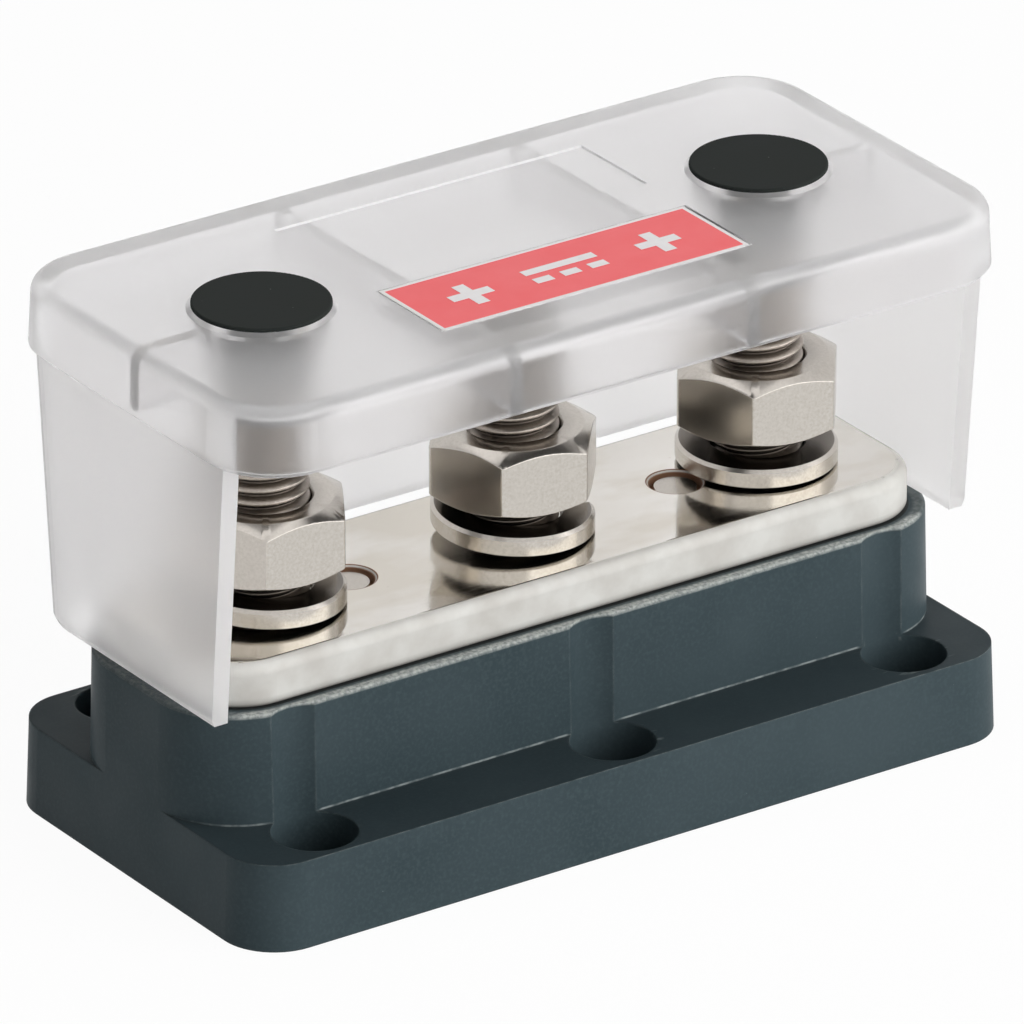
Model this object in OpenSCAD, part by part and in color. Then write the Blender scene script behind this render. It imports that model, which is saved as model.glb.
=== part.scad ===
// Three stud bus bar: a moulded base, a plated copper bar, three studs with spring washers and nuts,
// and a frosted cover that lifts off. Millimetres.
// Origin at the middle of the base's underside, X along the bar, Y to the back, Z up.

/* [Bus plate] */
// Length of the copper plate
plate_len = 92.8; // [84:0.2:120]
// Width of the copper plate
plate_w = 26; // [22:0.5:32]
// Thickness of the copper plate
plate_t = 5; // [3:0.5:8]
// Plan radius of the plate's corners
plate_corner_r = 7.4; // [3:0.1:9]
// Round along the plate's top edges
plate_edge_r = 1.3; // [0.4:0.1:1.5]
// Round along the plate's bottom edges
plate_foot_r = 0.6; // [0.2:0.1:1.2]
// Distance from one stud to the next
stud_pitch = 32; // [28:0.5:36]
// Diameter of the two tapped holes for the screws that hold the plate
tap_d = 5.8; // [3:0.1:6.5]
// Distance of each tapped hole from the end stud beside it
tap_from_stud = 10.7; // [10:0.1:14]
// Width of the bare chamfer at the tapped holes
tap_chamfer = 0.3; // [0.1:0.1:0.6]

/* [Plate screws] */
// Length of a screw under its head
screw_len = 12; // [10:0.5:13]
// How far a screw's end stops below the plate's top
screw_below = 0.5; // [0.2:0.1:1.5]
// Diameter of a screw's head
screw_head_d = 8; // [7:0.5:9]
// Height of a screw's head
screw_head_h = 2.5; // [2:0.1:3]
// Width across the flats of the socket in a screw's head
screw_socket_af = 4; // [2.5:0.5:4]
// Chamfer on a screw's end
screw_tip = 0.5; // [0.2:0.1:1]

/* [Base] */
// Width of the block's top in front of and behind the plate
block_rim = 1.8; // [1:0.1:3]
// Width of the block's top beyond the plate's ends
block_end_rim = 2.3; // [1.5:0.1:4]
// Height of the block above the flange
block_h = 12.7; // [10:0.1:18]
// How far the block's sides lean in over its height
block_lean = 0.3; // [0.1:0.05:1.5]
// Plan radius of the block's corners at its top
block_corner_r = 9.7; // [6:0.1:11]
// Eased edge round the block's top
block_edge = 0.3; // [0.1:0.1:0.9]
// Height of the flange that takes the mounting screws
flange_h = 10; // [8:0.5:14]
// Width of the flange's ledge in front of and behind the block
ledge_w = 9.25; // [9:0.05:14]
// How far the flange's sides lean in over its height
flange_lean = 0.4; // [0.1:0.1:1]
// Plan radius of the flange's corners at its top
flange_corner_r = 6; // [3:0.5:9]

/* [Mounting holes] */
// Distance between mounting holes along the base
mount_pitch = 38.3; // [34:0.1:41]
// Distance of the holes from the flange's top edge
mount_edge = 5.45; // [5.2:0.05:6.5]
// Diameter of the screw holes
mount_d = 5.2; // [4:0.1:6]
// Diameter of the screw head pockets at the flange's top
head_pocket_d = 9.4; // [8:0.1:9.6]
// Plastic left under a screw's head
mount_floor = 4.5; // [3:0.5:6]

/* [Underside] */
// Plastic left between the hollows and the screw pockets
core_wall = 2.5; // [1.5:0.1:4]
// Plastic left over the hollows in the flange
core_floor = 3.5; // [2:0.1:5]
// Width of the hollows in the flange
core_w = 7; // [4:0.5:9]

/* [Studs and nuts] */
// Thread diameter of the studs
thread_d = 10; // [8:0.5:12]
// Length of stud that stands above the plate
stud_rise = 24.8; // [22:0.1:34]
// Width across the flats of the nuts and bolt heads
hex_af = 17; // [15:0.5:18]
// Height of a nut
nut_h = 8; // [6:0.5:10]
// Height of a bolt's head
bolt_head_h = 6.4; // [5:0.2:7.5]
// Plastic between a bolt's head and the plate
head_seat_t = 10.2; // [7:0.2:12]
// Chamfer on a stud's tip
stud_tip = 1.2; // [0.5:0.1:2]
// Countersink at a nut's thread
nut_sink = 0.4; // [0.2:0.1:0.8]
// Radial width of a spring washer's wire
washer_wire_w = 3.6; // [2.5:0.1:4]
// Thickness of a spring washer's wire
washer_wire_t = 2.2; // [1.5:0.1:3]
// Height of each spring washer as it lies, left to right
washer_free_h = [4.6, 4.6, 2.9]; // [2.4:0.1:6]
// Width of the split in a spring washer
washer_split = 0.9; // [0.4:0.1:2]
// Place of each washer's split, in degrees from +X, left to right
washer_split_deg = [-10, -15, 30]; // [-180:5:180]
// Turn of each nut, in degrees, left to right
nut_turn_deg = [-1.5, -10.5, -7]; // [-60:0.5:60]

/* [Cover] */
// Height of the cover's top above the plate
cover_rise = 34.25; // [32:0.05:44]
// Depth of the cover over its lip
cover_w = 48.6; // [44:0.2:54]
// Wall of the cover
cover_t = 2; // [1.5:0.1:2.6]
// Height of the lip round the cover's top
lip_h = 7.8; // [6:0.1:9]
// How far the lip stands out from the walls below it
lip_step = 0.8; // [0.4:0.1:1.5]
// How far the lip's sides lean out down to its foot
lip_flare = 0.3; // [0.1:0.1:0.8]
// Plan radius of the lip's corners at its foot
lip_corner_r = 8.6; // [6:0.2:10]
// Round along the lip's top edge
lip_edge_r = 1.6; // [0.8:0.1:2]
// Ease along the lip's bottom edge
lip_foot_edge = 0.6; // [0.2:0.1:1]
// Gap between the cover's walls and the block's top
skirt_gap = 0.8; // [0.5:0.1:3]
// How far the back wall and the front edges lean in down to the cover's foot
skirt_lean = 2.7; // [0.5:0.1:4]
// How far the end walls' front edges stand back from the lip
skirt_setback = 6.4; // [4:0.1:10]
// Ease along the foot of the walls
skirt_foot_edge = 0.7; // [0.2:0.1:1]
// How much higher the back wall ends between its corners
back_rise = 1.4; // [0.8:0.1:4]
// Thickness of the ribs under the cover's top
rib_t = 1.6; // [1:0.1:2.5]
// Distance of the two cross ribs from the middle
cross_rib_x = 15.2; // [10:0.1:20]
// Floor of each tube, which rests on the tip of an end stud
tube_floor = 1.2; // [0.8:0.1:2]
// Wall of each tube at its foot
tube_t = 1.4; // [1:0.1:2]
// Taper of each tube, in radius
tube_taper = 1.5; // [0.4:0.1:2]

/* [Caps and label] */
// Diameter of the rubber caps
cap_d = 15; // [14:0.1:16.5]
// Thickness of a cap's head
cap_head_t = 0.4; // [0.3:0.05:1.5]
// Diameter of a cap's stem
cap_stem_d = 8.8; // [7:0.1:10]
// Height of the collar under each cap
collar_h = 0.4; // [0.2:0.05:1]
// Width of the collar that shows round each cap
collar_rim = 0.5; // [0.3:0.1:1]
// Length of the label
label_len = 39.2; // [30:0.2:39.6]
// Width of the label
label_w = 12.2; // [9:0.1:12.3]
// Thickness of the label
label_t = 0.25; // [0.15:0.05:0.3]
// Length of the two panels let into the cover's top
panel_len = 39.8; // [39.6:0.2:44]
// Width of the two panels let into the cover's top
panel_w = 12.4; // [12.3:0.1:14]
// Depth of the two panels
panel_depth = 0.3; // [0.3:0.05:0.6]
// Distance between the middles of the two panels
panel_pitch = 19.4; // [17:0.1:22]

/* [Clearances] */
// Radial gap between a thread and what turns on it
thread_gap = 0.05; // [0.02:0.01:0.1]
// Gap round what is put in loosely
loose_gap = 0.25; // [0.1:0.05:0.4]
// Gap under what only rests
seat_gap = 0.1; // [0.05:0.05:0.2]
// Radial gap round a cap's stem
stem_gap = 0.05; // [0.02:0.01:0.1]
// Gap between the plate's ends and the cover's walls
wall_gap = 0.35; // [0.3:0.05:1]

/* [Hidden] */

// Overshoot of a cut, and the least overlap of joined solids
over = 1;
eps = 0.01;

// Round face of a hexagon as a share of its width, and how far its turned outline stands outside it
hex_face_share = 0.9;
hex_af_slack = 0.1;

// Depth of a screw's socket as a share of its head
screw_socket_share = 0.7;

// Roundness of curves and of the washers' coil
$fn = 96;
loft_fn = 40;
coil_steps = 56;

// Levels, from the underside up
block_top_z = flange_h + block_h;
plate_top_z = block_top_z + plate_t;
nut_z = plate_top_z + max(washer_free_h) + seat_gap;
stud_top_z = plate_top_z + stud_rise;
bolt_seat_z = block_top_z - head_seat_t;
screw_top_z = plate_top_z - screw_below;
screw_seat_z = screw_top_z - screw_len;
cover_top_z = plate_top_z + cover_rise;
lip_z = cover_top_z - lip_h;
skirt_z = block_top_z + skirt_gap;
tube_z = stud_top_z + seat_gap;
stem_z = tube_z + tube_floor;
collar_top_z = cover_top_z + collar_h;

// Plan sizes of the base, worked out from the plate
block_top_len = plate_len + 2 * block_end_rim;
block_top_w = plate_w + 2 * block_rim;
block_len = block_top_len + 2 * block_lean;
block_w = block_top_w + 2 * block_lean;
flange_top_w = block_w + 2 * ledge_w;
base_len = block_len + 2 * flange_lean;
base_w = flange_top_w + 2 * flange_lean;
mount_y = flange_top_w / 2 - mount_edge;

// Plan sizes of the cover, worked out from the plate
skirt_in_len = plate_len + 2 * wall_gap;
skirt_len = skirt_in_len + 2 * cover_t;
cover_len = skirt_len + 2 * lip_step;
skirt_back_y = cover_w / 2 - lip_step;
skirt_front_y = skirt_setback - cover_w / 2;
skirt_corner_r = lip_corner_r - lip_step;

// Round sizes
stud_r = thread_d / 2;
bore_r = stud_r + thread_gap;
washer_in_r = stud_r + loose_gap;
washer_out_r = washer_in_r + washer_wire_w;
stem_bore_r = cap_stem_d / 2 + stem_gap;
tube_foot_r = stem_bore_r + tube_t;
stud_x = [-stud_pitch, 0, stud_pitch];
tap_x = stud_pitch - tap_from_stud;
screw_r = tap_d / 2 - thread_gap;

// Hollows in the base's underside
core_depth = flange_h - core_floor;
flange_core_len = mount_pitch - head_pocket_d - 2 * core_wall;

// Colours
slate = [0.17, 0.21, 0.23];
tin_plate = [0.80, 0.78, 0.74];
steel = [0.66, 0.63, 0.58];
frosted = [0.86, 0.86, 0.87, 0.5];
black_rubber = [0.10, 0.10, 0.10];
label_red = [0.88, 0.20, 0.25];

// Runs its children at the four corners of a rectangle
module at_corners(len, w) {
    for (sx = [-1, 1], sy = [-1, 1]) translate([sx * len / 2, sy * w / 2, 0]) children();
}

// Runs its children at each of the six mounting holes
module at_mounts() {
    for (ix = [-1, 0, 1], sy = [-1, 1]) translate([ix * mount_pitch, sy * mount_y, 0]) children();
}

module trapezoid(len, h, lean) {
    polygon([[-len / 2, 0], [len / 2, 0], [len / 2 - lean, h], [-len / 2 + lean, h]]);
}

// Block with round corners, whose sides lean in by the same amount all round
module leaning_block(len, w, h, r, lean) {
    rotate([90, 0, 0]) linear_extrude(w - 2 * r, center = true) trapezoid(len, h, lean);
    rotate([90, 0, 90]) linear_extrude(len - 2 * r, center = true) trapezoid(w, h, lean);
    at_corners(len - 2 * r, w - 2 * r) cylinder(h = h, r1 = r, r2 = r - lean);
}

// The same block with an eased edge round its top
module eased_block(len, w, h, r, lean, edge) {
    side_h = h - edge;
    side_lean = lean * side_h / h;
    leaning_block(len, w, side_h, r, side_lean);
    translate([0, 0, side_h])
        leaning_block(len - 2 * side_lean, w - 2 * side_lean, edge, r - side_lean, edge);
}

// Upright section of a box whose top edges are round
module soft_section(w, h, edge_r) {
    translate([-w / 2, 0]) square([w, h - edge_r]);
    translate([-w / 2 + edge_r, 0]) square([w - 2 * edge_r, h]);
    for (s = [-1, 1]) translate([s * (w / 2 - edge_r), h - edge_r]) circle(edge_r);
}

// Box with round corners in plan and a round edge along its top
module soft_box(len, w, h, r, edge_r) {
    rotate([90, 0, 0]) linear_extrude(w - 2 * r, center = true) soft_section(len, h, edge_r);
    rotate([90, 0, 90]) linear_extrude(len - 2 * r, center = true) soft_section(w, h, edge_r);
    at_corners(len - 2 * r, w - 2 * r) rotate_extrude() intersection() {
        soft_section(2 * r, h, edge_r);
        square([r, h]);
    }
}

module hex_prism(af, h) {
    cylinder(h = h, d = af / cos(30), $fn = 6);
}

// Turned outline that takes the corners off a hexagon at 30 degrees, at its foot and top as asked
module hex_chamfer(af, h, foot, top) {
    face_r = hex_face_share * af / 2;
    corner_r = af / 2 / cos(30) + hex_af_slack;
    rise = (corner_r - face_r) * tan(30);
    rotate_extrude() polygon([
        [0, 0],
        [foot ? face_r : corner_r, 0],
        [corner_r, foot ? rise : 0],
        [corner_r, top ? h - rise : h],
        [top ? face_r : corner_r, h],
        [0, h]
    ]);
}

// Flange and block, drilled for the screws and hollowed from below
module base() color(slate) difference() {
    union() {
        leaning_block(base_len, base_w, flange_h, flange_corner_r + flange_lean, flange_lean);
        translate([0, 0, flange_h])
            eased_block(block_len, block_w, block_h, block_corner_r + block_lean, block_lean, block_edge);
    }
    at_mounts() mount_cut();
    for (x = stud_x) translate([x, 0, 0]) bolt_cut();
    for (s = [-1, 1]) {
        translate([s * tap_x, 0, 0]) screw_cut();
        for (sy = [-1, 1]) translate([s * mount_pitch / 2, sy * mount_y, 0]) flange_core();
    }
}

// Screw hole with a head pocket that opens out upwards and leaves a groove up the block's side
module mount_cut() {
    lean_per_mm = block_lean / block_h;
    foot_r = head_pocket_d / 2 - (flange_h - mount_floor) * lean_per_mm;
    pocket_h = block_top_z + over - mount_floor;
    translate([0, 0, -over]) cylinder(h = flange_h + over, d = mount_d);
    translate([0, 0, mount_floor])
        cylinder(h = pocket_h, r1 = foot_r, r2 = foot_r + pocket_h * lean_per_mm);
}

// Bore for a stud over the hexagon pocket that stops its head from turning
module bolt_cut() {
    translate([0, 0, -over]) hex_prism(hex_af + 2 * loose_gap, bolt_seat_z + over);
    cylinder(h = block_top_z + over, r = stud_r + loose_gap);
}

// Bore for a plate screw over the round pocket that takes its head
module screw_cut() {
    translate([0, 0, -over]) cylinder(h = screw_seat_z + over, d = screw_head_d + 2 * loose_gap);
    cylinder(h = block_top_z + over, d = tap_d + 2 * loose_gap);
}

// Hollow in the flange between two screws
module flange_core() {
    translate([-flange_core_len / 2, -core_w / 2, -over])
        cube([flange_core_len, core_w, core_depth + over]);
}

// The plate's outer shape with a round along its top edge alone
module plate_blank(edge_r) {
    soft_box(plate_len, plate_w, plate_t, plate_corner_r, edge_r);
}

// Copper bar, tapped for the studs and for the two screws that hold it
module bus_plate() color(tin_plate) translate([0, 0, block_top_z]) difference() {
    intersection() {
        plate_blank(plate_edge_r);
        translate([0, 0, plate_t]) mirror([0, 0, 1]) plate_blank(plate_foot_r);
    }
    for (x = stud_x) translate([x, 0, -over]) cylinder(h = plate_t + 2 * over, r = bore_r);
    for (s = [-1, 1]) translate([s * tap_x, 0, 0]) {
        translate([0, 0, -over]) cylinder(h = plate_t + 2 * over, d = tap_d);
        translate([0, 0, plate_t - tap_chamfer])
            cylinder(h = tap_chamfer + eps, r1 = tap_d / 2, r2 = tap_d / 2 + tap_chamfer + eps);
    }
}

// Socket screw put in from below, whose end shows in its tapped hole
module plate_screw(side) color(steel) translate([side * tap_x, 0, 0]) difference() {
    head_z = screw_seat_z - screw_head_h;
    rotate_extrude() polygon([
        [0, head_z],
        [screw_head_d / 2, head_z],
        [screw_head_d / 2, screw_seat_z],
        [screw_r, screw_seat_z],
        [screw_r, screw_top_z - screw_tip],
        [screw_r - screw_tip, screw_top_z],
        [0, screw_top_z]
    ]);
    translate([0, 0, head_z - over]) hex_prism(screw_socket_af, over + screw_head_h * screw_socket_share);
}

// Hexagon bolt whose shank is the stud
module stud(i) color(steel) translate([stud_x[i], 0, 0]) {
    translate([0, 0, bolt_seat_z - bolt_head_h]) intersection() {
        hex_prism(hex_af, bolt_head_h);
        hex_chamfer(hex_af, bolt_head_h, true, false);
    }
    rotate_extrude() polygon([
        [0, bolt_seat_z - eps],
        [stud_r, bolt_seat_z - eps],
        [stud_r, stud_top_z - stud_tip],
        [stud_r - stud_tip, stud_top_z],
        [0, stud_top_z]
    ]);
}

// One coil of square wire that climbs clockwise, so that it lets a nut tighten and bites when it loosens
module spring_washer(i) {
    split_deg = 2 * asin(washer_split / 2 / washer_in_r);
    sweep_deg = 360 - split_deg;
    climb = washer_free_h[i] - washer_wire_t;
    section = [
        [washer_in_r, 0],
        [washer_out_r, 0],
        [washer_out_r, washer_wire_t],
        [washer_in_r, washer_wire_t]
    ];
    points = [
        for (k = [0 : coil_steps], c = section)
            let (turn = washer_split_deg[i] - split_deg / 2 - sweep_deg * k / coil_steps)
            [c[0] * cos(turn), c[0] * sin(turn), c[1] + climb * k / coil_steps]
    ];
    last = 4 * coil_steps;
    faces = concat(
        [[0, 1, 2, 3]],
        [for (k = [0 : coil_steps - 1], c = [0 : 3])
            [4 * k + c, 4 * k + 4 + c, 4 * k + 4 + (c + 1) % 4, 4 * k + (c + 1) % 4]],
        [[last + 3, last + 2, last + 1, last]]
    );
    color(steel) translate([stud_x[i], 0, plate_top_z]) polyhedron(points, faces);
}

// Hexagon nut, chamfered at both ends, with countersunk thread mouths
module nut(i) color(steel) translate([stud_x[i], 0, nut_z]) difference() {
    rotate(nut_turn_deg[i]) intersection() {
        hex_prism(hex_af, nut_h);
        hex_chamfer(hex_af, nut_h, true, true);
    }
    translate([0, 0, -over]) cylinder(h = nut_h + 2 * over, r = bore_r);
    translate([0, 0, -eps]) cylinder(h = nut_sink + eps, r1 = bore_r + nut_sink, r2 = bore_r);
    translate([0, 0, nut_h - nut_sink]) cylinder(h = nut_sink + eps, r1 = bore_r, r2 = bore_r + nut_sink);
}

// Lidded top, walls on three sides, ribs under the top, and a tube that rests on each end stud's tip
module cover() color(frosted) difference() {
    union() {
        difference() {
            translate([0, 0, lip_z]) lip();
            translate([0, 0, lip_z - over]) cover_hollow();
        }
        skirt();
        for (s = [-1, 1]) {
            translate([s * stud_pitch, 0, 0]) tube();
            end_rib(s);
            cross_rib(s);
        }
    }
    for (s = [-1, 1]) {
        translate([s * stud_pitch, 0, stem_z]) cylinder(h = collar_top_z + over - stem_z, r = stem_bore_r);
        translate([-panel_len / 2, s * panel_pitch / 2 - panel_w / 2, cover_top_z - panel_depth])
            cube([panel_len, panel_w, panel_depth + over]);
    }
}

// Outside of the top and lip, eased at its foot and round along its top edge
module lip() {
    top_len = cover_len - 2 * lip_flare;
    top_w = cover_w - 2 * lip_flare;
    side_h = lip_h - lip_foot_edge - lip_edge_r;
    leaning_block(cover_len - 2 * lip_foot_edge, cover_w - 2 * lip_foot_edge, lip_foot_edge,
                  lip_corner_r - lip_foot_edge, -lip_foot_edge);
    translate([0, 0, lip_foot_edge]) {
        leaning_block(cover_len, cover_w, side_h, lip_corner_r, lip_flare);
        soft_box(top_len, top_w, lip_h - lip_foot_edge, lip_corner_r - lip_flare, lip_edge_r);
    }
}

// Space inside the lip
module cover_hollow() {
    soft_box(cover_len - 2 * cover_t, cover_w - 2 * cover_t, lip_h + over - cover_t, lip_corner_r - cover_t,
             lip_edge_r / 2);
}

// Thin slice of the walls' outline, open towards the front, with round corners at the back
module skirt_slice(z, len, back_y, r) {
    front_y = -cover_w / 2;
    translate([0, 0, z]) {
        for (s = [-1, 1])
            translate([s * (len / 2 - r), back_y - r, 0]) cylinder(h = eps, r = r, $fn = loft_fn);
        translate([-len / 2, front_y, 0]) cube([len, eps, eps]);
    }
}

// Two end walls and a back wall, upright inside the lip and leaning in below it
module skirt() difference() {
    ease = skirt_foot_edge;
    lean_per_mm = skirt_lean / (lip_z - skirt_z);
    foot_y = skirt_back_y - skirt_lean;
    in_y = skirt_back_y - cover_t;
    in_r = skirt_corner_r - cover_t;
    hull() {
        skirt_slice(cover_top_z - cover_t / 2, skirt_len, skirt_back_y, skirt_corner_r);
        skirt_slice(lip_z, skirt_len, skirt_back_y, skirt_corner_r);
        skirt_slice(skirt_z + ease, skirt_len, foot_y + ease * lean_per_mm, skirt_corner_r);
        skirt_slice(skirt_z, skirt_len - ease, foot_y - ease / 2, skirt_corner_r - ease / 2);
    }
    hull() {
        skirt_slice(cover_top_z - cover_t, skirt_in_len, in_y, in_r);
        skirt_slice(lip_z, skirt_in_len, in_y, in_r);
        skirt_slice(skirt_z - over, skirt_in_len, in_y - skirt_lean - lean_per_mm * over, in_r);
    }
    skirt_front_cut();
    skirt_back_cut();
}

// Takes the foot off the back wall between its round corners, with sloping ends
module skirt_back_cut() {
    half_len = skirt_in_len / 2 - skirt_corner_r;
    rise = back_rise + over;
    rotate([90, 0, 180]) linear_extrude(cover_w) polygon([
        [-half_len, skirt_z - over],
        [half_len, skirt_z - over],
        [half_len - rise, skirt_z + back_rise],
        [rise - half_len, skirt_z + back_rise]
    ]);
}

// Cuts the end walls' front edges back, more at the foot, and clears the front below the lip
module skirt_front_cut() {
    far_y = -cover_w;
    edge_z = [skirt_z - over, lip_z];
    edge_y = [skirt_front_y + skirt_lean, skirt_front_y];
    rotate([90, 0, 90]) linear_extrude(skirt_len + 2 * over, center = true) polygon([
        [far_y, edge_z[0]],
        [edge_y[0], edge_z[0]],
        [edge_y[1], edge_z[1]],
        [edge_y[1], cover_top_z],
        [far_y, cover_top_z]
    ]);
}

// Tapered tube under the top, with the low collar that shows round its cap
module tube() {
    top_z = cover_top_z - cover_t / 2;
    translate([0, 0, tube_z]) cylinder(h = top_z - tube_z, r1 = tube_foot_r, r2 = tube_foot_r + tube_taper);
    translate([0, 0, top_z]) cylinder(h = cover_top_z - top_z, r = cap_d / 2 + collar_rim);
    translate([0, 0, cover_top_z]) cylinder(h = collar_h, r1 = cap_d / 2 + collar_rim, r2 = cap_d / 2);
}

// Rib from a tube to its end wall
module end_rib(side) {
    reach = skirt_len / 2 - cover_t / 2 - stud_pitch;
    translate([side * stud_pitch - (side > 0 ? 0 : reach), -rib_t / 2, lip_z])
        cube([reach, rib_t, lip_h - cover_t / 2]);
}

// Rib across the top, from the front of the lip to its back
module cross_rib(side) {
    span = cover_w - cover_t;
    translate([side * cross_rib_x - rib_t / 2, -span / 2, lip_z]) cube([rib_t, span, lip_h - cover_t / 2]);
}

// Rubber plug that closes a tube
module cap(side) {
    edge_r = cap_head_t / 2 - eps;
    stem_h = collar_top_z - stem_z;
    color(black_rubber) translate([side * stud_pitch, 0, stem_z]) rotate_extrude() {
        square([cap_stem_d / 2, stem_h + eps]);
        translate([0, stem_h]) square([cap_d / 2 - edge_r, cap_head_t]);
        translate([0, stem_h]) square([cap_d / 2, cap_head_t - edge_r]);
        translate([cap_d / 2 - edge_r, stem_h + cap_head_t - edge_r]) circle(edge_r);
    }
}

// Sticker in the front panel
module label() color(label_red)
    translate([-label_len / 2, -panel_pitch / 2 - label_w / 2, cover_top_z - panel_depth])
        cube([label_len, label_w, label_t]);

base();
bus_plate();
plate_screw(-1);  // plate_screw_left
plate_screw(1);  // plate_screw_right
stud(0);  // stud_left
stud(1);  // stud_middle
stud(2);  // stud_right
spring_washer(0);  // spring_washer_left
spring_washer(1);  // spring_washer_middle
spring_washer(2);  // spring_washer_right
nut(0);  // nut_left
nut(1);  // nut_middle
nut(2);  // nut_right
cover();
cap(-1);  // cap_left
cap(1);  // cap_right
label();
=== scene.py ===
"""Looks of the covered bus bar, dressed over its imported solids.

Lengths are millimetres, apart from those of the floor and the lamps, which are metres.
Noise scales are per metre.
"""
import math

import bpy
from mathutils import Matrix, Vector


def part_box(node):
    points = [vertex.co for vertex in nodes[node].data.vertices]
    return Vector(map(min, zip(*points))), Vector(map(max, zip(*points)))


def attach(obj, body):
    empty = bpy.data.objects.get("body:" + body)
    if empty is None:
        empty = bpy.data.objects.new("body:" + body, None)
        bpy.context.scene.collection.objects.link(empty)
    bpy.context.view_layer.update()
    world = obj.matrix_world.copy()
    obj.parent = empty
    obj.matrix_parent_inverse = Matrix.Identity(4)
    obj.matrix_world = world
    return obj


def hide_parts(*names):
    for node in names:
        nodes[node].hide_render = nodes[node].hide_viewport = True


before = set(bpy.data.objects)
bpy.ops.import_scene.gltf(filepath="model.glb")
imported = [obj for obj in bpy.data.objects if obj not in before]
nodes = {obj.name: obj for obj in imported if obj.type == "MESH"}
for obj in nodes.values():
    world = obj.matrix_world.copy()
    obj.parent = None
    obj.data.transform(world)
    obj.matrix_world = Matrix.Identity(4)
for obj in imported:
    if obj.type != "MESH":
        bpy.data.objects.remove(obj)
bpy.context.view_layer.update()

MM = 0.001
SIDES = ["left", "middle", "right"]

# Studs
THREAD_PITCH = 1.5
THREAD_DEPTH = 0.86
THREAD_COLUMNS = 72
THREAD_FOOT_Z = 24.5
STUD_R = 5.0
STUD_TIP = 1.2
SHANK_R = 4.9
SHANK_TOP_Z = 26.0
HEAD_TOP_Z = 12.5
HEAD_CENTRE_R = 0.01

# Hexagons of the nuts and of the studs' heads
HEX_AF = 17.0
HEX_CORNER_R = 0.35
HEX_FACE_R = 7.65
HEX_EASE = 0.1
HEX_CHAMFER_DEG = 30

# Nuts
NUT_BORE_R = 5.05
NUT_SINK = 0.4
NUT_TURN_DEG = [-1.5, -10.5, -7]
NUT_Z = 32.4

# Spring washers
WASHER_BORE_R = 5.25
WASHER_WIRE_T = 2.2
WASHER_WIRE_W = 3.6
WASHER_BEVEL = 0.35
WASHER_SHOULDER = 0.42
WASHER_EDGE = 0.2
WASHER_SPLIT = 0.9
WASHER_SPLIT_DEG = [-10, -15, 30]
WASHER_STEPS = 120

# Label
MARK_LIFT = 0.02
PLUS_X = 12
PLUS_ARM = 2.6
PLUS_BAR = 0.75
DC_HALF_LEN = 4.6
DC_INNER_Y = 0.5
DC_OUTER_Y = 1.8
DASH_PITCH = 3.5
DASH_HALF_LEN = 1.1
LABEL_BORDER = 0.45

# Plate
PLATE_HALF = (46.4, 13.0)
PLATE_CORNER_R = 7.4
TAP_X = 21.3
TAP_R = 2.9
TAP_MOUTH_R = 3.2

# Base
FLANGE_Z = 10.0
BLOCK_TOP_Z = 22.7
FOOT_END_X = 47.0
MOUNT_PITCH = 38.3
MOUNT_Y = 18.9
POCKET_R = 4.7

# Cover
LIP_Z = 54.0
TOP_UNDER_Z = 60.2

# Darkening of the steel, from nought to one: painted shade in the thread's roots, on the thread under the
# nuts, in the nuts' bores and undersides and on the washers' faces, and a little darkening of the studs'
# tips and heads
COVERED_SHADE = 0.75
TIP_DARKENING = 0.3
HEAD_DARKENING = 0.15
# Painted shade for a nut's rows, from the bore's foot round the outside to the bore's mouth
NUT_SHADE = [1.0, 0.9, 0.8, 0.3] + [0.0] * 6 + [0.35, 1.0]
# Painted shade for the corners of a washer's wire, from the bore round the underside and the outside to
# the top
WASHER_SHADE = [1.0, 1.0, 0.5, 0.0, 0.0, 0.0, 0.8, 1.0, 1.0]


def node_box(name):
    low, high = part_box(name)
    return low / MM, high / MM


# Meshes

def add_piece(name, verts, faces, body, material, replaced=(), sharp_deg=35, painted_shade=None):
    mesh = bpy.data.meshes.new(name)
    mesh.from_pydata([Vector(v) * MM for v in verts], [], faces)
    mesh.validate()
    mesh.shade_smooth()
    mesh.set_sharp_from_angle(angle=math.radians(sharp_deg))
    mesh.materials.append(material)
    # Painted shade for each vertex, kept in a mesh attribute.
    if painted_shade:
        mesh.attributes.new("painted_shade", "FLOAT", "POINT").data.foreach_set("value", painted_shade)
    piece = bpy.data.objects.new(name, mesh)
    bpy.context.scene.collection.objects.link(piece)
    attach(piece, body)
    if replaced:
        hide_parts(*replaced)
    return piece


def even_normals(piece):
    """Keeps wide faces flat next to their narrow bevels."""
    weighted = piece.modifiers.new("weighted", "WEIGHTED_NORMAL")
    weighted.keep_sharp = True
    weighted.weight = 90


def ring_faces(first, n_rings, n_cols, loop=False):
    """Quads between rings that follow each other, each a closed loop of columns."""
    faces = []
    for k in range(n_rings if loop else n_rings - 1):
        a = first + k * n_cols
        b = first + (k + 1) % n_rings * n_cols
        for j in range(n_cols):
            i = (j + 1) % n_cols
            faces.append((a + j, a + i, b + i, b + j))
    return faces


def hex_radius(deg):
    """Distance from the axis to a hexagon whose corners are a little round."""
    flat = HEX_AF / 2
    off = abs((deg % 60) - 30)
    if math.tan(math.radians(off)) * flat <= (flat - HEX_CORNER_R) * math.tan(math.radians(30)):
        return flat / math.cos(math.radians(off))
    centre = (flat - HEX_CORNER_R) / math.cos(math.radians(30))
    rest = math.radians(30 - off)
    return centre * math.cos(rest) + math.sqrt(HEX_CORNER_R**2 - (centre * math.sin(rest))**2)


# Columns round a hexagon, in degrees, close together near its corners
HEX_COLUMNS = [60 * k + d for k in range(6)
               for d in (0, 1, 2, 3.5, 6, 10, 16, 23, 30, 37, 44, 50, 54, 56.5, 58, 59)]


def round_row(r, z):
    """A row of (radius, height) that lies on a circle, with a point for each column."""
    return [(r, z)] * len(HEX_COLUMNS)


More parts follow.
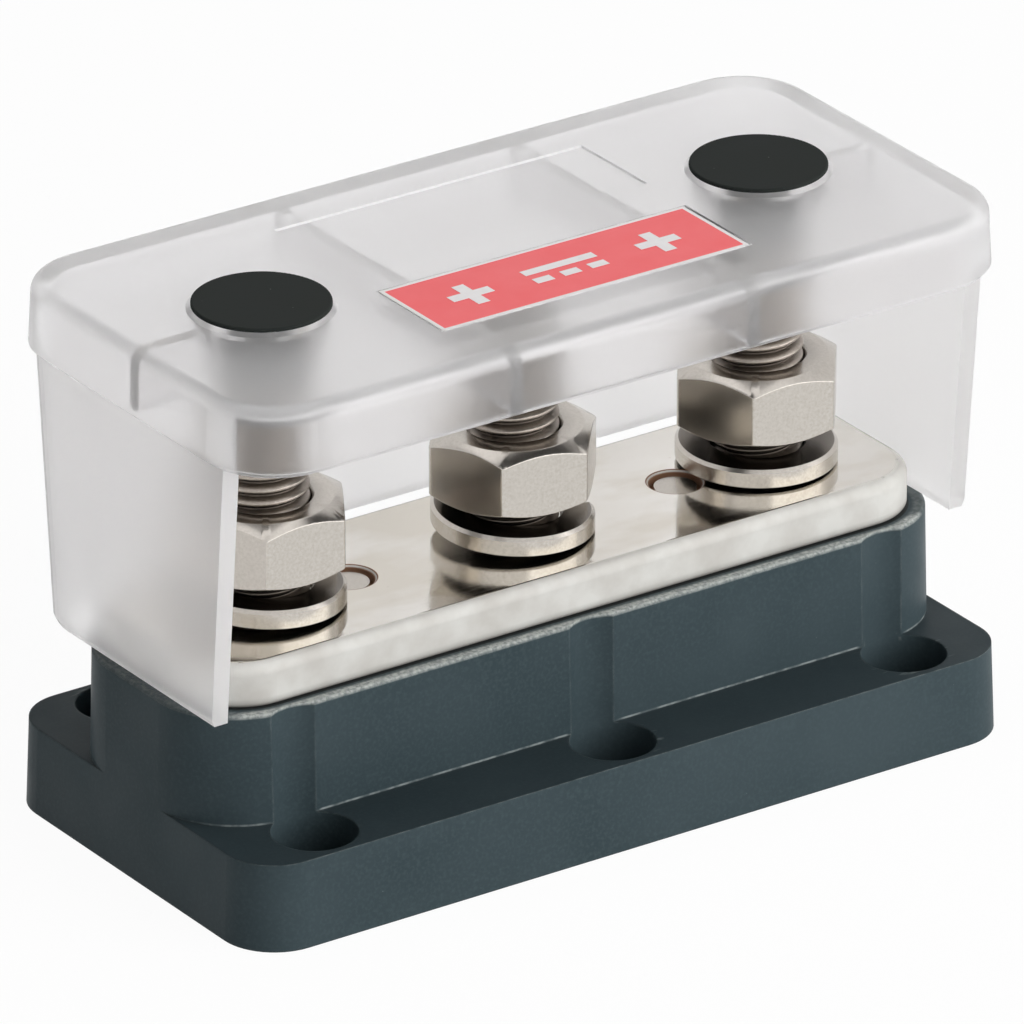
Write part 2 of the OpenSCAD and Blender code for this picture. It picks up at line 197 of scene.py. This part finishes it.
def hex_sides(z0, z1, chamfered_top=True):
    """Eight rows of (radius, height) up a hexagon's side, chamfered at the foot and perhaps at the top."""
    ease = HEX_EASE
    slope = math.tan(math.radians(HEX_CHAMFER_DEG))
    rows = [[] for _ in range(8)]
    for deg in HEX_COLUMNS:
        r = hex_radius(deg)
        drop = (r - HEX_FACE_R) * slope
        low = [(HEX_FACE_R - ease, z0), (HEX_FACE_R + ease, z0 + ease * slope),
               (r - ease, z0 + drop - ease * slope), (r, z0 + drop + ease)]
        high = [(r, z1 - ease), (r - ease, z1), (r - 2 * ease, z1), (r - 3 * ease, z1)]
        if chamfered_top:
            high = [(r, z1 - drop - ease), (r - ease, z1 - drop + ease * slope),
                    (HEX_FACE_R + ease, z1 - ease * slope), (HEX_FACE_R - ease, z1)]
        for row, point in zip(rows, low + high):
            row.append(point)
    return rows


def turned_rows(rows, x, turn_deg):
    verts = []
    for row in rows:
        for deg, (r, z) in zip(HEX_COLUMNS, row):
            a = math.radians(deg + turn_deg)
            verts.append((x + r * math.cos(a), r * math.sin(a), z))
    return verts


def nut_piece(i, x, material):
    """A chamfered hexagon with a bore that is sunk at both ends."""
    name = "nut_" + SIDES[i]
    low, high = node_box(name)
    rows = [round_row(NUT_BORE_R, low.z + NUT_SINK), round_row(NUT_BORE_R + NUT_SINK, low.z)]
    rows += hex_sides(low.z, high.z)
    rows += [round_row(NUT_BORE_R + NUT_SINK, high.z), round_row(NUT_BORE_R, high.z - NUT_SINK)]
    columns = len(HEX_COLUMNS)
    verts = turned_rows(rows, x, NUT_TURN_DEG[i])
    faces = ring_faces(0, len(rows), columns, loop=True)
    painted_shade = [share for share in NUT_SHADE for _ in range(columns)]
    piece = add_piece(SIDES[i] + "_nut_body", verts, faces, name, material,
                      [name], painted_shade=painted_shade)
    even_normals(piece)


# One turn of a thread, as share of the pitch and share of the depth
THREAD_SHAPE = [(0.0, 0.0), (0.08, 0.0), (0.14, 0.08), (0.28, 0.50), (0.43, 0.93), (0.48, 1.0),
                (0.60, 1.0), (0.65, 0.93), (0.80, 0.50), (0.94, 0.08)]


def thread_mesh(x, z0, z1):
    """Right-hand thread from z0 up to z1, with a chamfered tip; also a share of painted shade for each
    vertex, darkest in the roots and below the nut.
    """
    n = THREAD_COLUMNS
    tip_r = STUD_R - STUD_TIP
    tiny = 1e-6
    turns = int((z1 - z0) / THREAD_PITCH) + 2
    rows = [(turn + share, depth) for turn in range(turns) for share, depth in THREAD_SHAPE]
    angles = [2 * math.pi * j / n for j in range(n + 1)]
    verts, painted_shade = [], []
    for turn, depth in rows:
        for j, angle in enumerate(angles):
            z = min(z0 + THREAD_PITCH * (turn - 1 + j / n), z1)
            r = min(STUD_R - THREAD_DEPTH * (1 - depth), tip_r + z1 - z)
            verts.append((x + r * math.cos(angle), r * math.sin(angle), z))
            # Painted shade: dark in the roots and on the thread below the nut.
            painted_shade.append(max(1 - depth, COVERED_SHADE if z < NUT_Z else 0.0))
    faces = []
    for k in range(len(rows) - 1):
        for j in range(n):
            first = k * (n + 1) + j
            quad = (first, first + 1, first + n + 2, first + n + 1)
            if min(verts[v][2] for v in quad) < z1 - tiny:
                faces.append(quad)
    faces.append(tuple(range(len(verts), len(verts) + n)))
    verts += [(x + tip_r * math.cos(angle), tip_r * math.sin(angle), z1) for angle in angles[:n]]
    painted_shade += [TIP_DARKENING] * n
    return verts, faces, painted_shade


def stud_piece(i, x, material):
    """A threaded stud with the hexagon head that holds it from below."""
    name = "stud_" + SIDES[i]
    low, high = node_box(name)
    verts, faces, painted_shade = thread_mesh(x, THREAD_FOOT_Z, high.z)
    rows = [round_row(HEAD_CENTRE_R, low.z)] + hex_sides(low.z, HEAD_TOP_Z, chamfered_top=False)
    rows += [round_row(SHANK_R, HEAD_TOP_Z), round_row(SHANK_R, SHANK_TOP_Z)]
    columns = len(HEX_COLUMNS)
    faces += ring_faces(len(verts), len(rows), columns)
    verts += turned_rows(rows, x, 0)
    painted_shade += [HEAD_DARKENING] * (len(rows) * columns)
    add_piece(SIDES[i] + "_stud_thread", verts, faces, "base", material,
              [name], sharp_deg=50, painted_shade=painted_shade)


def washer_piece(i, x, material):
    """One coil of square wire, bevelled round its top, climbing clockwise from its split."""
    name = "spring_washer_" + SIDES[i]
    low, high = node_box(name)
    in_r = WASHER_BORE_R
    out_r = in_r + WASHER_WIRE_W
    top = WASHER_WIRE_T
    climb = high.z - low.z - top
    split = 2 * math.degrees(math.asin(WASHER_SPLIT / 2 / in_r))
    section = [(in_r, WASHER_EDGE), (in_r + WASHER_EDGE, 0),
               (out_r - WASHER_EDGE, 0), (out_r, WASHER_EDGE),
               (out_r, top - WASHER_BEVEL), (out_r - WASHER_BEVEL, top), (out_r - WASHER_SHOULDER, top),
               (in_r + WASHER_EDGE, top), (in_r, top - WASHER_EDGE)]
    steps, corners = WASHER_STEPS, len(section)
    verts = []
    for k in range(steps + 1):
        a = math.radians(WASHER_SPLIT_DEG[i] - split / 2 - (360 - split) * k / steps)
        for r, z in section:
            verts.append((x + r * math.cos(a), r * math.sin(a), low.z + z + climb * k / steps))
    faces = ring_faces(0, steps + 1, corners)
    faces.append(tuple(range(corners - 1, -1, -1)))
    faces.append(tuple(range(steps * corners, (steps + 1) * corners)))
    add_piece(SIDES[i] + "_washer_coil", verts, faces, "base", material,
              [name], painted_shade=WASHER_SHADE * (steps + 1))


def label_marks(material):
    """Polarity marks on the label: a plus sign, a direct current sign, and a plus sign."""
    low, high = node_box("label")
    y = (low.y + high.y) / 2
    verts, faces = [], []

    def patch(points):
        faces.append(tuple(range(len(verts), len(verts) + len(points))))
        verts.extend((px, y + py, high.z + MARK_LIFT) for px, py in points)

    def box(x0, y0, x1, y1):
        patch([(x0, y0), (x1, y0), (x1, y1), (x0, y1)])

    def plus(cx):
        corners = [(-PLUS_BAR, -PLUS_ARM), (PLUS_BAR, -PLUS_ARM), (PLUS_BAR, -PLUS_BAR)]
        points = []
        for _ in range(4):
            points += [(cx + px, py) for px, py in corners]
            corners = [(-py, px) for px, py in corners]
        patch(points)

    plus(-PLUS_X)
    plus(PLUS_X)
    box(-DC_HALF_LEN, DC_INNER_Y, DC_HALF_LEN, DC_OUTER_Y)
    for k in (-1, 0, 1):
        mid = k * DASH_PITCH
        box(mid - DASH_HALF_LEN, -DC_OUTER_Y, mid + DASH_HALF_LEN, -DC_INNER_Y)
    add_piece("label_marks", verts, faces, "cover", material)


# Materials

class Shader:
    """A new material with a principled shader, and short ways to add nodes to it."""

    def __init__(self, name, **constants):
        self.material = bpy.data.materials.new(name)
        self.material.use_nodes = True
        self.tree = self.material.node_tree
        self.bsdf = self.tree.nodes["Principled BSDF"]
        self.out(**constants)
        self.place = self.node("ShaderNodeTexCoord").outputs["Object"]

    def node(self, kind, **settings):
        made = self.tree.nodes.new(kind)
        for key, value in settings.items():
            setattr(made, key, value)
        return made

    def plug(self, socket, value):
        """Links a node's output to the socket, or sets a constant on it."""
        if isinstance(value, bpy.types.NodeSocket):
            self.tree.links.new(value, socket)
        else:
            socket.default_value = value

    def feed(self, made, **inputs):
        """Plugs values into a node's sockets by name, with a low line for each blank."""
        for key, value in inputs.items():
            self.plug(made.inputs[key.replace("_", " ")], value)
        return made.outputs[0]

    def out(self, **inputs):
        self.feed(self.bsdf, **inputs)

    def math(self, operation, a, b=0.0):
        made = self.node("ShaderNodeMath", operation=operation)
        self.plug(made.inputs[0], a)
        self.plug(made.inputs[1], b)
        return made.outputs[0]

    def minus(self, a, b):
        return self.math("SUBTRACT", a, b)

    def size(self, a):
        return self.math("ABSOLUTE", a)

    def away(self, a, b):
        """Distance between two values."""
        return self.size(self.minus(a, b))

    def length(self, a, b):
        return self.math("SQRT", self.math("ADD", self.math("POWER", a, 2.0), self.math("POWER", b, 2.0)))

    def times(self, first, *others):
        """Product of several masks."""
        total = first
        for other in others:
            total = self.math("MULTIPLY", total, other)
        return total

    def stretch(self, x, y, z):
        return self.feed(self.node("ShaderNodeMapping"), Vector=self.place, Scale=(x, y, z))

    def noise(self, scale, detail, place=None):
        made = self.node("ShaderNodeTexNoise")
        self.feed(made, Vector=place or self.place, Scale=scale, Detail=detail)
        return made.outputs["Fac"]

    def cells(self, scale):
        made = self.node("ShaderNodeTexVoronoi")
        self.feed(made, Vector=self.place, Scale=scale)
        return made.outputs["Distance"]

    def ramp(self, source, low, high, to_low=0.0, to_high=1.0):
        made = self.node("ShaderNodeMapRange")
        self.feed(made, Value=source, From_Min=low, From_Max=high, To_Min=to_low, To_Max=to_high)
        return made.outputs["Result"]

    def mix(self, factor, a, b):
        """Mixes two colours, each a node's output or plain red, green and blue."""
        made = self.node("ShaderNodeMix", data_type="RGBA")
        self.plug(made.inputs["Factor"], factor)
        for socket, colour in ((made.inputs[6], a), (made.inputs[7], b)):
            self.plug(socket, (*colour, 1) if isinstance(colour, tuple) else colour)
        return made.outputs[2]

    def spot(self):
        """The point's x, y and z in millimetres."""
        scaled = self.node("ShaderNodeVectorMath", operation="SCALE")
        self.feed(scaled, Vector=self.place, Scale=1 / MM)
        parts = self.node("ShaderNodeSeparateXYZ")
        self.plug(parts.inputs[0], scaled.outputs[0])
        return tuple(parts.outputs)

    def upright(self, low=0.97, high=0.80):
        """One on upright faces and nought on level ones."""
        face = self.node("ShaderNodeSeparateXYZ")
        self.plug(face.inputs[0], self.node("ShaderNodeNewGeometry").outputs["True Normal"])
        return self.ramp(self.size(face.outputs[2]), low, high)

    def soft_edge(self, radius):
        """The normal, rounded over edges."""
        return self.feed(self.node("ShaderNodeBevel", samples=2), Radius=radius * MM)

    def edge_mask(self, soft, low, high):
        """One along edges, where the softened normal leaves the face, and nought on flat faces."""
        dot = self.node("ShaderNodeVectorMath", operation="DOT_PRODUCT")
        self.plug(dot.inputs[0], soft)
        self.plug(dot.inputs[1], self.node("ShaderNodeNewGeometry").outputs["Normal"])
        return self.ramp(dot.outputs["Value"], high, low)

    def bump(self, height, depth, strength=1.0, normal=None):
        made = self.node("ShaderNodeBump")
        self.feed(made, Height=height, Distance=depth * MM, Strength=strength)
        if normal is not None:
            self.feed(made, Normal=normal)
        return made.outputs[0]


def beyond_plate(s):
    """How far a point stands outside the plate's outline."""
    past = []
    for v, half in zip(s.spot(), PLATE_HALF):
        past.append(s.math("MAXIMUM", s.minus(s.size(v), half - PLATE_CORNER_R), 0.0))
    return s.minus(s.length(*past), PLATE_CORNER_R)


def beyond_pockets(s):
    """How far a point stands outside the nearest screw pocket."""
    x, y = s.spot()[:2]
    along = s.size(x)
    along = s.math("MINIMUM", along, s.away(along, MOUNT_PITCH))
    across = s.minus(s.size(y), MOUNT_Y)
    return s.minus(s.length(along, across), POCKET_R)


def slate_body(s, soft, grain, dust):
    """Cloudy slate with dust, light specks and worn edges."""
    cloud = s.noise(45, 6)
    body = s.mix(s.ramp(cloud, 0.35, 0.65), (0.029, 0.044, 0.050), (0.040, 0.057, 0.064))
    body = s.mix(s.ramp(dust, 0.45, 0.75, 0.0, 0.5), body, (0.050, 0.070, 0.077))
    specks = s.times(s.ramp(s.cells(900), 0.06, 0.02), s.ramp(s.noise(260, 2), 0.60, 0.70))
    body = s.mix(specks, body, (0.16, 0.18, 0.18))
    worn = s.times(s.edge_mask(soft, 0.80, 0.97), s.ramp(grain, 0.35, 0.65, 0.1, 0.8))
    return s.mix(worn, body, (0.16, 0.185, 0.185))


def slate_block_top(s, body, dust):
    """A pale strip on the block's top round the plate, partly scuffs and partly painted light, paler on
    the long sides than at the ends; painted shade darkens it near the plate and fills the crevice against
    the plate.
    """
    y, z = s.spot()[1:]
    gap = beyond_plate(s)
    level = s.ramp(z, BLOCK_TOP_Z - 0.4, BLOCK_TOP_Z - 0.1)
    dusty = s.ramp(dust, 0.35, 0.65, 0.45, 1.0)
    # Painted light: the strip is paler along the long sides than at the ends.
    lit_long_sides = s.ramp(s.size(y), PLATE_HALF[1] - 0.6, PLATE_HALF[1] + 0.2, 0.25, 1.0)
    # The strip's pale colour is partly scuffs, from the dust noise, and partly painted light on the top
    # face; painted shade darkens its inner part near the plate.
    scuffed_lit_strip = s.times(level, dusty, lit_long_sides, s.ramp(gap, 0.5, 0.9, 0.12, 1.0))
    body = s.mix(scuffed_lit_strip, body, (0.40, 0.42, 0.40))
    # Painted shade in the crevice against the plate.
    crevice_shade = s.times(level, s.ramp(gap, 0.26, 0.16))
    return s.mix(crevice_shade, body, (0.020, 0.022, 0.022))


def slate_flange(s, body, grain, past_rim):
    """A pale line along the block's foot, partly a moulding flash line and partly a painted highlight,
    painted shade on the level deck, and scuffs round the pockets' rims.
    """
    x, _, z = s.spot()
    near_foot = s.ramp(s.away(z, FLANGE_Z + 0.1), 0.16, 0.08)
    inner = s.ramp(s.size(x), FOOT_END_X + 1, FOOT_END_X)
    off_pockets = s.ramp(past_rim, 0.2, 0.5)
    # A pale line along the block's foot: partly a moulding flash line, partly a painted highlight in the
    # fillet.
    foot_line_and_highlight = s.times(near_foot, s.upright(), inner, off_pockets, s.ramp(grain, 0.4, 0.6, 0.2, 0.9))
    body = s.mix(foot_line_and_highlight, body, (0.24, 0.27, 0.27))
    # Painted shade on the level deck of the flange.
    deck_shade = s.times(s.ramp(s.upright(), 1.0, 0.0, 0.0, 0.45), s.ramp(z, FLANGE_Z + 0.6, FLANGE_Z + 0.3))
    body = s.mix(deck_shade, body, (0.010, 0.014, 0.016))
    ring = s.ramp(s.size(past_rim), 0.9, 0.2)
    below = s.ramp(z, FLANGE_Z + 0.5, FLANGE_Z + 0.1)
    above = s.ramp(z, FLANGE_Z - 0.8, FLANGE_Z - 0.2)
    streaks = s.ramp(s.noise(1.0, 3, s.stretch(260, 1100, 500)), 0.60, 0.68)
    scuffs = s.times(ring, below, streaks, s.ramp(s.noise(70, 1), 0.42, 0.52), above)
    return s.mix(scuffs, body, (0.11, 0.13, 0.13))


def slate_plastic():
    s = Shader("slate_plastic", Specular_IOR_Level=0.08)
    soft = s.soft_edge(0.35)
    grain = s.noise(700, 3)
    dust = s.noise(2400, 2)
    body = slate_body(s, soft, grain, dust)
    body = slate_block_top(s, body, dust)
    s.out(Base_Color=slate_flange(s, body, grain, beyond_pockets(s)))
    s.out(Roughness=s.ramp(s.noise(120, 5), 0.3, 0.7, 0.40, 0.54))
    s.out(Normal=s.bump(dust, 0.008, 0.4, soft))
    return s.material


def tin_plate():
    """Bright tin on the level faces, matte on the sides, with bare copper in the tapped holes and painted
    shade along the bottom edge.
    """
    s = Shader("tin_plate", Specular_IOR_Level=0.2)
    x, y, z = s.spot()
    reach = s.length(s.minus(s.size(x), TAP_X), y)
    wall = s.ramp(reach, TAP_R + 0.12, TAP_R + 0.04)
    mouth = s.ramp(s.away(reach, TAP_MOUTH_R), 0.10, 0.05)
    side = s.upright(0.9995, 0.97)
    cloud = s.noise(60, 5)
    stain = s.noise(1.0, 4, s.stretch(70, 150, 150))
    tin = s.mix(s.ramp(cloud, 0.35, 0.7), (0.87, 0.85, 0.81), (0.77, 0.74, 0.68))
    tin = s.mix(s.ramp(stain, 0.44, 0.60, 0.0, 0.8), tin, (0.73, 0.69, 0.615))
    specks = s.times(s.ramp(s.cells(420), 0.07, 0.03), s.ramp(s.noise(120, 2), 0.52, 0.60))
    tin = s.mix(specks, tin, (0.60, 0.55, 0.48))
    matte = s.mix(s.ramp(s.noise(220, 6), 0.35, 0.65), (0.62, 0.615, 0.588), (0.525, 0.51, 0.48))
    tin = s.mix(side, tin, matte)
    # Painted shade: the tin darkens towards its bottom edge, against the block.
    low_edge_shade = s.ramp(z, BLOCK_TOP_Z + 1.1, BLOCK_TOP_Z + 0.15, 0.0, 0.55)
    tin = s.mix(low_edge_shade, tin, (0.20, 0.185, 0.165))
    s.out(Base_Color=s.mix(s.math("MAXIMUM", wall, mouth), tin, (0.24, 0.13, 0.08)))
    s.out(Metallic=s.ramp(side, 0.0, 1.0, 1.0, 0.45))
    scratch = s.noise(1.0, 2, s.stretch(60, 2600, 900))
    smudge = s.ramp(s.noise(140, 6), 0.45, 0.75, 0.0, 0.12)
    polish = s.math("ADD", s.ramp(scratch, 0.4, 0.75, 0.06, 0.13), smudge)
    rough_side = s.times(side, s.ramp(cloud, 0.3, 0.7, 0.68, 0.78))
    s.out(Roughness=s.math("MAXIMUM", polish, rough_side))
    wave = s.bump(s.noise(95, 2), 0.05)
    s.out(Normal=s.bump(scratch, 0.002, 0.35, wave))
    return s.material


def bright_steel(name, light, dark, gloss):
    """Plain steel between two tones and two roughnesses, with painted shade in dark brown where the mesh's
    attribute says so.
    """
    s = Shader(name, Metallic=1.0)
    shade_layer = s.node("ShaderNodeAttribute", attribute_name="painted_shade").outputs["Fac"]
    steel = s.mix(s.ramp(s.noise(3200, 3), 0.3, 0.7), light, dark)
    # Painted shade: dark brown in crevices, bores and gaps under the nuts, as the mesh's attribute gives
    # it.
    s.out(Base_Color=s.mix(s.ramp(shade_layer, 0.1, 0.9, 0.0, 0.92), steel, (0.075, 0.062, 0.050)))
    s.out(Roughness=s.ramp(s.noise(90, 2), 0.3, 0.7, *gloss))
    s.out(Normal=s.bump(s.noise(260, 2), 0.006, 0.5))
    return s.material


def frosted_plastic():
    """Frosted walls below the lip, and a clearer, greyer lip and top."""
    s = Shader("frosted_plastic", IOR=1.30)
    z = s.spot()[2]
    lip = s.ramp(z, LIP_Z - 0.5, LIP_Z + 0.5)
    top = s.ramp(z, TOP_UNDER_Z - 0.4, TOP_UNDER_Z + 0.4)
    cloud = s.ramp(s.noise(40, 4), 0.3, 0.7)
    wall = s.mix(cloud, (0.955, 0.945, 0.945), (0.975, 0.967, 0.967))
    upper = s.mix(cloud, (0.922, 0.912, 0.917), (0.942, 0.935, 0.938))
    s.out(Base_Color=s.mix(lip, wall, upper))
    clear = s.ramp(lip, 0.0, 1.0, 0.86, 0.95)
    milky = s.ramp(top, 0.0, 1.0, 0.0, 0.08)
    s.out(Transmission_Weight=s.minus(clear, milky))
    frost = s.ramp(lip, 0.0, 1.0, 0.52, 0.285)
    patches = s.ramp(s.noise(90, 4), 0.3, 0.7, 0.0, 0.03)
    s.out(Roughness=s.math("ADD", frost, patches))
    s.out(Normal=s.bump(s.noise(150, 2), 0.03, 0.5))
    return s.material


def black_rubber():
    s = Shader("black_rubber", Specular_IOR_Level=0.04)
    cloud = s.noise(160, 4)
    lint = s.ramp(s.cells(520), 0.05, 0.02)
    body = s.mix(s.ramp(cloud, 0.3, 0.7), (0.018, 0.021, 0.020), (0.027, 0.030, 0.028))
    s.out(Base_Color=s.mix(lint, body, (0.12, 0.12, 0.12)))
    s.out(Roughness=s.ramp(cloud, 0.3, 0.7, 0.55, 0.72))
    s.out(Normal=s.bump(s.noise(1500, 3), 0.02, 0.5, s.soft_edge(0.2)))
    return s.material


def red_label():
    """Red print with a pale border, on a pale back."""
    s = Shader("red_label", Specular_IOR_Level=0.2)
    low, high = node_box("label")
    half = (high - low) / 2
    x, y, z = s.spot()
    out_x = s.minus(s.size(x), half.x - LABEL_BORDER)
    out_y = s.minus(s.away(y, (low.y + high.y) / 2), half.y - LABEL_BORDER)
    border = s.ramp(s.math("MAXIMUM", out_x, out_y), -0.02, 0.02)
    back = s.ramp(z, low.z + 0.02, low.z + 0.01)
    red = s.mix(s.ramp(s.noise(300, 4), 0.3, 0.7), (0.97, 0.145, 0.155), (0.99, 0.165, 0.175))
    s.out(Base_Color=s.mix(s.math("MAXIMUM", border, back), red, (0.88, 0.86, 0.85)))
    s.out(Roughness=s.ramp(s.noise(200, 3), 0.3, 0.7, 0.32, 0.42))
    return s.material


def white_ink():
    s = Shader("white_ink", Specular_IOR_Level=0.4)
    s.out(Base_Color=s.mix(s.ramp(s.noise(900, 3), 0.3, 0.7), (0.86, 0.83, 0.83), (0.90, 0.88, 0.88)))
    s.out(Roughness=s.ramp(s.noise(300, 3), 0.3, 0.7, 0.38, 0.48))
    return s.material


# Dressing

def dress(name, material):
    mesh = nodes[name].data
    mesh.materials.clear()
    mesh.materials.append(material)


steel = bright_steel("bright_steel", (0.62, 0.585, 0.537), (0.545, 0.51, 0.463), (0.19, 0.25))
threaded = bright_steel("threaded_steel", (0.46, 0.415, 0.37), (0.38, 0.335, 0.295), (0.30, 0.38))
tin = tin_plate()
rubber = black_rubber()
dress("base", slate_plastic())
dress("bus_plate", tin)
dress("cover", frosted_plastic())
dress("cap_left", rubber)
dress("cap_right", rubber)
dress("label", red_label())
label_marks(white_ink())

for i, side in enumerate(SIDES):
    low, high = node_box("nut_" + side)
    x = (low.x + high.x) / 2
    nut_piece(i, x, steel)
    stud_piece(i, x, threaded)
    washer_piece(i, x, steel)
    for kind in ("nut_", "stud_", "spring_washer_"):
        dress(kind + side, steel)
for side in ("left", "right"):
    dress("plate_screw_" + side, steel)


# Studio

FLOOR_HALF = 4
FLOOR_Z = -0.0001
FLOOR_GLOW = 0.95
SKY_LIGHT = 0.28
LAMP_AIM = Vector((0, 0, 0.03))
KEY_PLACE = Vector((0.50, -1.00, 0.50))
KEY_SIZE = (1.6, 0.95)
SHEEN_NEARER = 0.96


def seen(tree):
    """One for rays that show the background, straight on or through metal and clear plastic."""
    path = tree.nodes.new("ShaderNodeLightPath")
    total = path.outputs["Is Camera Ray"]
    for name in ("Is Glossy Ray", "Is Transmission Ray"):
        larger = tree.nodes.new("ShaderNodeMath")
        larger.operation = "MAXIMUM"
        tree.links.new(total, larger.inputs[0])
        tree.links.new(path.outputs[name], larger.inputs[1])
        total = larger.outputs[0]
    return total


def floor_white():
    """White paper that also glows for rays that show the background."""
    material = bpy.data.materials.new("floor_white")
    material.use_nodes = True
    tree = material.node_tree
    tree.nodes.clear()
    paper = tree.nodes.new("ShaderNodeBsdfDiffuse")
    paper.inputs["Color"].default_value = (0.90, 0.90, 0.90, 1)
    glow = tree.nodes.new("ShaderNodeEmission")
    mix = tree.nodes.new("ShaderNodeMixShader")
    share = tree.nodes.new("ShaderNodeMath")
    share.operation = "MULTIPLY"
    share.inputs[1].default_value = FLOOR_GLOW
    tree.links.new(seen(tree), share.inputs[0])
    tree.links.new(share.outputs[0], mix.inputs[0])
    tree.links.new(paper.outputs[0], mix.inputs[1])
    tree.links.new(glow.outputs[0], mix.inputs[2])
    out = tree.nodes.new("ShaderNodeOutputMaterial")
    tree.links.new(mix.outputs[0], out.inputs[0])
    return material


def softbox(name, place, size, watts, mirrored=True):
    """A lamp that faces the object, and that shiny surfaces mirror or not."""
    lamp = bpy.data.lights.new(name, "AREA")
    lamp.shape = "RECTANGLE"
    lamp.size, lamp.size_y = size
    lamp.energy = watts
    holder = bpy.data.objects.new(name, lamp)
    holder.location = place
    holder.rotation_mode = "QUATERNION"
    holder.rotation_quaternion = (LAMP_AIM - Vector(place)).to_track_quat("-Z", "Y")
    holder.visible_glossy = mirrored
    bpy.context.scene.collection.objects.link(holder)


corners = [(-1, -1), (1, -1), (1, 1), (-1, 1)]
floor_mesh = bpy.data.meshes.new("floor")
floor_mesh.from_pydata([(FLOOR_HALF * u, FLOOR_HALF * v, 0) for u, v in corners], [], [(0, 1, 2, 3)])
floor_mesh.materials.append(floor_white())
floor = bpy.data.objects.new("floor", floor_mesh)
floor.location.z = FLOOR_Z
bpy.context.scene.collection.objects.link(floor)

world = bpy.data.worlds.new("studio")
bpy.context.scene.world = world
world.use_nodes = True
sky = world.node_tree.nodes["Background"]
sky.inputs["Color"].default_value = (1, 1, 1, 1)
level = world.node_tree.nodes.new("ShaderNodeMapRange")
level.inputs["To Min"].default_value = SKY_LIGHT
world.node_tree.links.new(seen(world.node_tree), level.inputs["Value"])
world.node_tree.links.new(level.outputs["Result"], sky.inputs["Strength"])

softbox("key", KEY_PLACE, KEY_SIZE, 16.5, mirrored=False)
softbox("sheen", KEY_PLACE * SHEEN_NEARER, KEY_SIZE, 4.0)
softbox("overhead", (0.05, 0.15, 1.10), (0.9, 0.9), 1.5)


# Camera, at the photo's angle and framing

AZIMUTH = math.radians(-34.48)
ELEVATION = math.radians(25.03)
FOCAL_PX = 14465
PHOTO_PX = 1024
SENSOR_WIDTH = 36
CENTRE_RIGHT = -0.07
CENTRE_UP = 26.91
DISTANCE = 1562
LEVEL_BACK = math.cos(ELEVATION)
BACK = Vector((math.sin(AZIMUTH) * LEVEL_BACK, -math.cos(AZIMUTH) * LEVEL_BACK, math.sin(ELEVATION)))
RIGHT = Vector((math.cos(AZIMUTH), math.sin(AZIMUTH), 0))
UP = BACK.cross(RIGHT)

camera = bpy.data.cameras.new("camera")
camera.sensor_width = SENSOR_WIDTH
camera.lens = FOCAL_PX / PHOTO_PX * SENSOR_WIDTH
camera.clip_start, camera.clip_end = 0.05, 20
eye = bpy.data.objects.new("camera", camera)
eye.location = (RIGHT * CENTRE_RIGHT + UP * CENTRE_UP + BACK * DISTANCE) * MM
eye.rotation_mode = "QUATERNION"
eye.rotation_quaternion = (-BACK).to_track_quat("-Z", "Y")
bpy.context.scene.collection.objects.link(eye)
bpy.context.scene.camera = eye
bpy.context.scene.view_settings.view_transform = "Standard"

bpy.context.view_layer.update()
